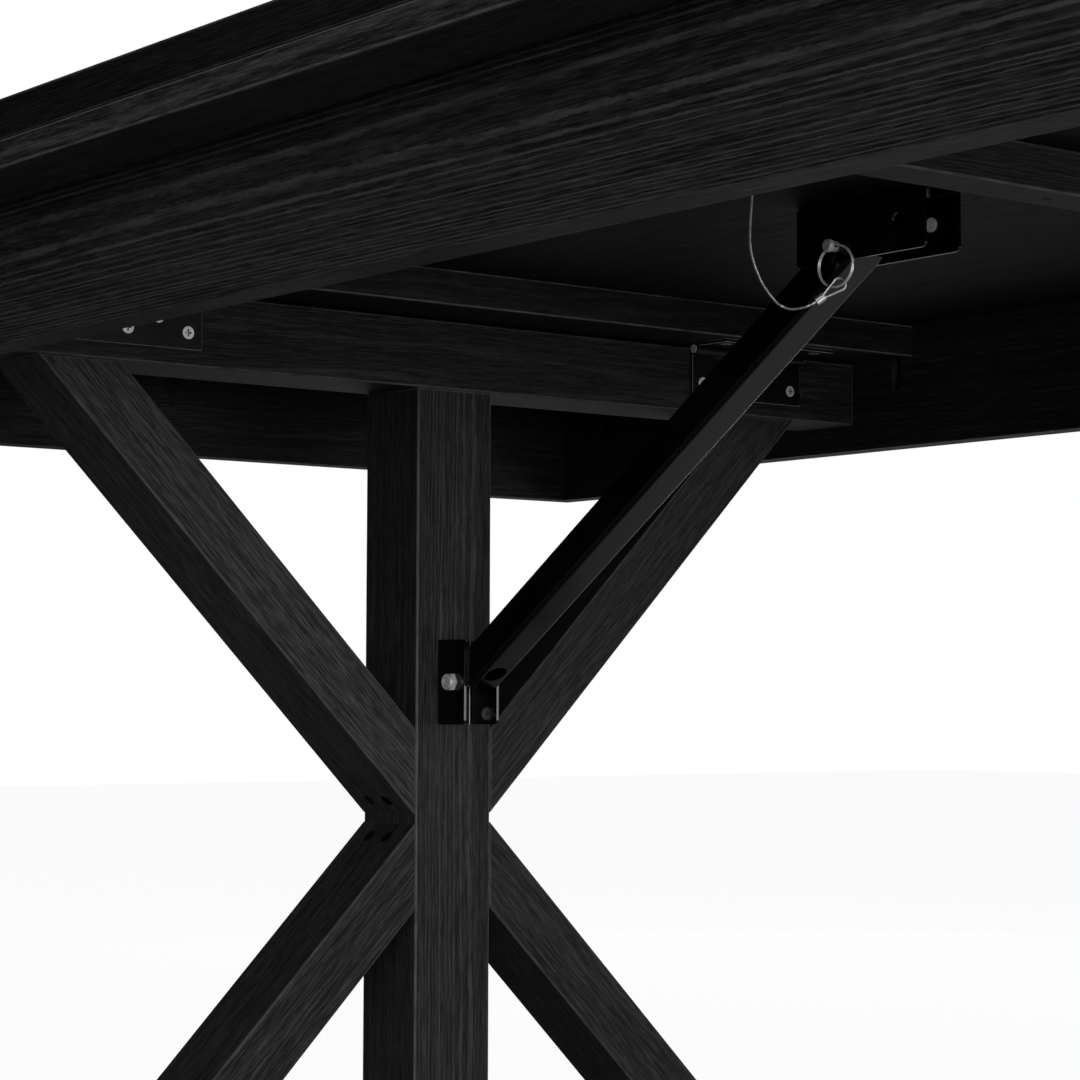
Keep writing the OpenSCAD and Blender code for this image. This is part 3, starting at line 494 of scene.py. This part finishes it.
# Trestles. The shade of a strut goes by its level, up or down, and by its place, which
# changes hands with the side: partly the strut's own tone, partly painted light and shade
# for the light that falls on it.
STRUT_TONE_AND_PAINTED_LIGHT = {(1, -1): 1.5, (-1, -1): 1.12, (1, 1): 0.85, (-1, 1): 0.9}
STRUT_SLOPE = math.tan(math.radians(45.4))
for side, flip in zip(SIDES, (1, -1)):
    wooden(f"{side}_top_rail", Y, (flip * -0.09, 0.1, -0.01), pitch=0.001, bold=0.4,
           fine=1.2, shade=0.7, worn=0.5)
    wooden(f"{side}_foot_rail", Y, (flip * -0.1, 0.3, -0.03), pitch=0.001, bold=0.6)
    wooden(f"{side}_post", Z + 0.002 * Y, (flip * -0.09, 0.03, 0.1), pitch=0.0011, bold=0.72,
           fine=1.2, wild=0.5, shade=0.88, worn=0.6)
    for level, up in (("upper", 1), ("lower", -1)):
        for place, front in (("front", -1), ("back", 1)):
            way = Y + up * front * flip * STRUT_SLOPE * Z
            wooden(f"{side}_strut_{level}_{place}", way,
                   (0.07 * up * flip, 0.05 * front, 0.05 * up), pitch=0.0011, bold=0.27,
                   fine=1.3, wild=0.6, shade=STRUT_TONE_AND_PAINTED_LIGHT[up, front * flip], worn=0.35)

# Hardware.
# The paint's eased edges turn paler, partly as abraded paint and partly as a painted highlight;
# the leaves' turn much paler.
paint = black_paint("black_paint")
leaf_paint = black_paint("leaf_paint", (0.0012, 0.003), (0.3, 0.4), 0.22, 0.6,
                         (0.2, 0.4))
for node in [f"{side}_{name}" for side in SIDES for name in
             ("lock_bracket", "post_bracket", "brace")]:
    eased(node, paint, STEEL_EASE, STEEL_SHORT)
for node in ("top_hinge_leaves", "left_rail_hinge_leaves", "right_rail_hinge_leaves"):
    eased(node, leaf_paint, LEAF_EASE, STEEL_SHORT)

FINISH = {"black_steel": black_paint("screw_black", (0.0005, 0.001), (0.5, 0.6), 0.08),
          "zinc_steel": zinc("zinc_plate"), "steel_cable": cable_steel("wire_rope"),
          "glide_plastic": plastic("glide_black")}
BRIGHT = zinc("zinc_bright", 0.9, (0.45, 0.55), 0.3)
for node, obj in nodes.items():
    if not obj.hide_render:
        obj.data.materials.clear()
        obj.data.materials.append(BRIGHT if node == "bracket_rivets" else
                                  FINISH[slots[node]])
for ring in rings:
    ring.data.materials.append(FINISH["zinc_steel"])
for cable in lanyards:
    cable.data.materials.append(FINISH["steel_cable"])


# ---- Studio ----

FLOOR_GREY, FLOOR_WHITE = (0.14,) * 3, (0.96,) * 3
FLOOR_GLOW = 0.93                       # share of plain white that the camera sees
MIRROR_NEAR, MIRROR_FAR = 0.02, 0.26    # share that reflections see, in front and behind
FLOOR_Z, FLOOR_REACH = -0.0005, 14.0


def pale_floor(name):
    """Matt, a mid grey to the light that it sends on, and near white to the camera.
    Reflections see it paler behind the table than in front of it."""
    s = Shader(name)
    path = s.add("LightPath")
    tint = s.mix(path.outputs["Is Camera Ray"], FLOOR_GREY, FLOOR_WHITE)
    matt = s.add("BsdfDiffuse", {"Color": tint, "Roughness": 0.5})
    glow = s.add("Emission", {"Color": (1, 1, 1, 1), "Strength": 1.0})
    direct = s.math("MAXIMUM", path.outputs["Is Camera Ray"],
                    path.outputs["Is Transmission Ray"])
    place = s.add("SeparateXYZ", {0: s.add("NewGeometry").outputs["Position"]}).outputs
    behind = s.span(s.math("MULTIPLY_ADD", place[0], 0.2, place[1]), 0.0, 0.5,
                    MIRROR_NEAR, MIRROR_FAR)
    seen = s.math("MULTIPLY_ADD", direct, FLOOR_GLOW,
                  s.math("MULTIPLY", path.outputs["Is Glossy Ray"], behind))
    both = s.add("MixShader", {0: seen, 1: matt.outputs[0], 2: glow.outputs[0]})
    s.tree.links.new(both.outputs[0], s.out.inputs["Surface"])
    return s.material


floor_mesh = bpy.data.meshes.new("floor")
floor_mesh.from_pydata([(x * FLOOR_REACH, y * FLOOR_REACH, FLOOR_Z)
                        for x, y in ((-1, -1), (1, -1), (1, 1), (-1, 1))], [], [(0, 1, 2, 3)])
floor = new_object("floor", floor_mesh)
floor_mesh.materials.append(pale_floor("floor_pale"))


def studio_world(name, bright_side, low, high):
    """White where the camera looks. The light and the reflections come from it at the
    strength high on its bright_side, falling to low on the opposite one."""
    world = bpy.data.worlds.new(name)
    world.use_nodes = True
    tree = world.node_tree
    tree.nodes.clear()

    def add(kind, **settings):
        node = tree.nodes.new("ShaderNode" + kind)
        for key, value in settings.items():
            setattr(node, key, value)
        return node

    facing = add("VectorMath", operation="DOT_PRODUCT")
    tree.links.new(add("TexCoord").outputs["Generated"], facing.inputs[0])
    facing.inputs[1].default_value = Vector(bright_side).normalized()
    side = add("MapRange", interpolation_type="SMOOTHSTEP")
    tree.links.new(facing.outputs["Value"], side.inputs["Value"])
    for socket, value in (("From Min", -0.9), ("From Max", 0.9), ("To Min", low),
                          ("To Max", high)):
        side.inputs[socket].default_value = value
    path = add("LightPath")
    direct = add("Math", operation="MAXIMUM")
    tree.links.new(path.outputs["Is Camera Ray"], direct.inputs[0])
    tree.links.new(path.outputs["Is Transmission Ray"], direct.inputs[1])
    level = add("Mix", data_type="FLOAT")
    tree.links.new(direct.outputs[0], level.inputs[0])
    tree.links.new(side.outputs[0], level.inputs[2])
    level.inputs[3].default_value = 1.0
    back = add("Background")
    tree.links.new(level.outputs[0], back.inputs["Strength"])
    back.inputs["Color"].default_value = (1, 1, 1, 1)
    tree.links.new(back.outputs[0], add("OutputWorld").inputs["Surface"])
    return world


bpy.context.scene.world = studio_world("studio", (0.8, 0.55, 0.25), 0.012, 0.6)


def soft_light(name, place, aim, size, watts):
    data = bpy.data.lights.new(name, "AREA")
    data.shape = "RECTANGLE"
    data.size, data.size_y = size
    data.energy = watts
    lamp = bpy.data.objects.new(name, data)
    bpy.context.scene.collection.objects.link(lamp)
    lamp.location = place
    lamp.rotation_euler = (Vector(aim) - Vector(place)).to_track_quat("-Z", "Y").to_euler()


soft_light("key", (2.6, -3.2, 1.2), (-0.2, 0, 0.5), (2.2, 1.4), 48)
soft_light("side", (3.9, -1.5, 0.35), (-0.6, -0.1, 0.4), (2.2, 0.7), 95)
soft_light("far_side", (3.0, 2.3, 0.4), (-0.6, 0, 0.4), (1.6, 0.8), 22)
soft_light("back", (-1.5, 3.4, 2.4), (-0.4, 0, 0.5), (2.4, 1.8), 30)
soft_light("left", (-3.4, 2.6, 0.9), (-0.4, 0, 0.5), (2.0, 1.2), 12)

bpy.context.scene.view_settings.view_transform = "Standard"
